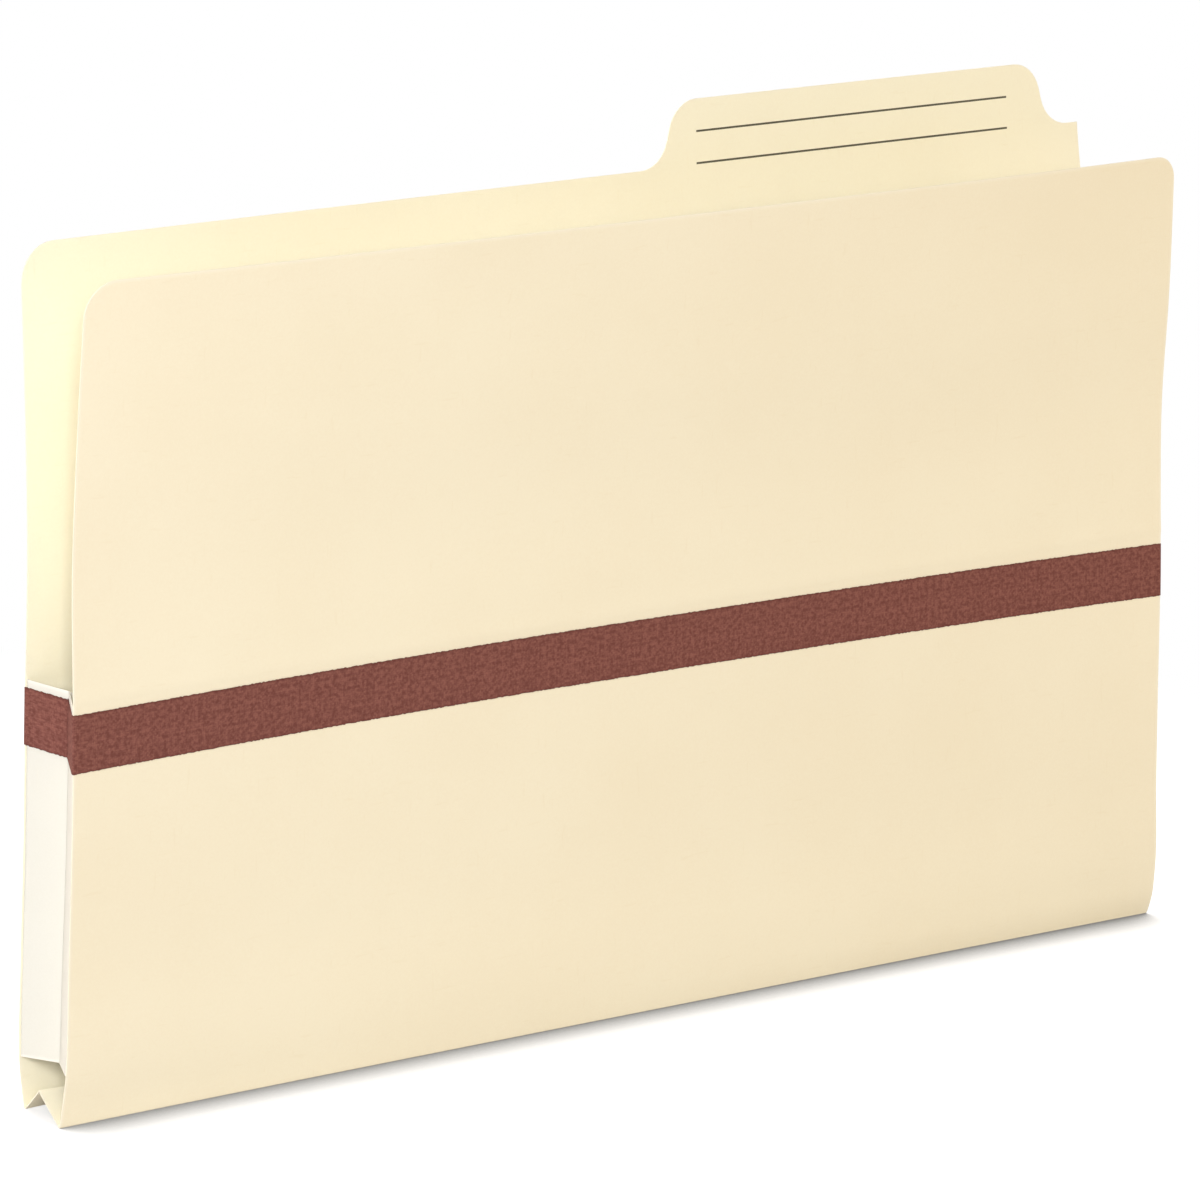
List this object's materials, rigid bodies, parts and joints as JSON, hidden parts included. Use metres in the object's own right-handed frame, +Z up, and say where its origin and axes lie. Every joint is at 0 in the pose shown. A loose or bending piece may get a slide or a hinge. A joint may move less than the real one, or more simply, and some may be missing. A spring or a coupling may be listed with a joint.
{
  "type": "expanding file pocket",
  "caption": "Legal-size manila file pocket with pleated ends and bottom, a band of woven brown tape, free flaring flaps and an offset filing tab, which expands and folds flat.",
  "frame": {"origin": "middle of the footprint of the pocket's box, on the surface that the two bottom folds stand on", "axes": "+X along the pocket's width to the reader's right, +Y from the front panel to the back panel, +Z up to the open mouth and the tab"},
  "size_m": [0.3746, 0.0408, 0.2414],
  "materials": {
    "manila": "matt cream manila card with fine fibres",
    "gusset_paper": "matt off-white strong paper",
    "woven_tape": "matt reddish-brown woven cloth tape"
  },
  "bodies": {
    "back": {"back_panel": "manila", "tape_back": "woven_tape", "left_gusset_rear_flange": "gusset_paper", "right_gusset_rear_flange": "gusset_paper"},
    "back_flap": {"back_flap": "manila"},
    "left_rear_leaf": {"left_gusset_rear_leaf": "gusset_paper", "tape_left_rear": "woven_tape"},
    "left_front_leaf": {"left_gusset_front_leaf": "gusset_paper", "tape_left_front": "woven_tape"},
    "front": {"front_panel": "manila", "tape_front": "woven_tape", "left_gusset_front_flange": "gusset_paper", "right_gusset_front_flange": "gusset_paper"},
    "front_flap": {"front_flap": "manila"},
    "right_rear_leaf": {"right_gusset_rear_leaf": "gusset_paper", "tape_right_rear": "woven_tape"},
    "right_front_leaf": {"right_gusset_front_leaf": "gusset_paper", "tape_right_front": "woven_tape"},
    "bottom_rear": {"bottom_rear_leaf": "manila"},
    "bottom_front": {"bottom_front_leaf": "manila"}
  },
  "joints": [
    {"name": "pocket_expansion", "type": "slide", "parent": "back", "child": "front", "axis": [0, -1, 0], "range_m": [-0.0174, 0.002]},
    {"name": "left_rear_fold", "type": "hinge", "parent": "back", "child": "left_rear_leaf", "pos_m": [-0.18682, 0.00629, 0.06], "axis": [0, 0, 1], "range_deg": [-6.8, 58.2]},
    {"name": "left_front_fold", "type": "hinge", "parent": "front", "child": "left_front_leaf", "pos_m": [-0.18682, -0.01311, 0.06], "axis": [0, 0, 1], "range_deg": [-58.2, 6.8]},
    {"name": "right_rear_fold", "type": "hinge", "parent": "back", "child": "right_rear_leaf", "pos_m": [0.18682, 0.00629, 0.06], "axis": [0, 0, 1], "range_deg": [-58.2, 6.8]},
    {"name": "right_front_fold", "type": "hinge", "parent": "front", "child": "right_front_leaf", "pos_m": [0.18682, -0.01311, 0.06], "axis": [0, 0, 1], "range_deg": [-6.8, 58.2]},
    {"name": "bottom_rear_fold", "type": "hinge", "parent": "back", "child": "bottom_rear", "pos_m": [0, 0.00629, 0.0003], "axis": [1, 0, 0], "range_deg": [-58.2, 6.8]},
    {"name": "bottom_front_fold", "type": "hinge", "parent": "front", "child": "bottom_front", "pos_m": [0, -0.01311, 0.0003], "axis": [1, 0, 0], "range_deg": [-6.8, 58.2]},
    {"name": "back_flap_bend", "type": "hinge", "parent": "back", "child": "back_flap", "pos_m": [0, 0.00784, 0.113], "axis": [1, 0, 0], "range_deg": [-15, 4], "stiffness_Nm_per_rad": 0.05},
    {"name": "front_flap_bend", "type": "hinge", "parent": "front", "child": "front_flap", "pos_m": [0, -0.01466, 0.113], "axis": [1, 0, 0], "range_deg": [-2, 20], "stiffness_Nm_per_rad": 0.05}
  ],
  "couplings": [
    {"joint": "left_rear_fold", "follows": "pocket_expansion", "rad_per_m": -58.18},
    {"joint": "left_front_fold", "follows": "pocket_expansion", "rad_per_m": 58.18},
    {"joint": "right_rear_fold", "follows": "pocket_expansion", "rad_per_m": 58.18},
    {"joint": "right_front_fold", "follows": "pocket_expansion", "rad_per_m": -58.18},
    {"joint": "bottom_rear_fold", "follows": "pocket_expansion", "rad_per_m": 58.18},
    {"joint": "bottom_front_fold", "follows": "pocket_expansion", "rad_per_m": -58.18}
  ]
}
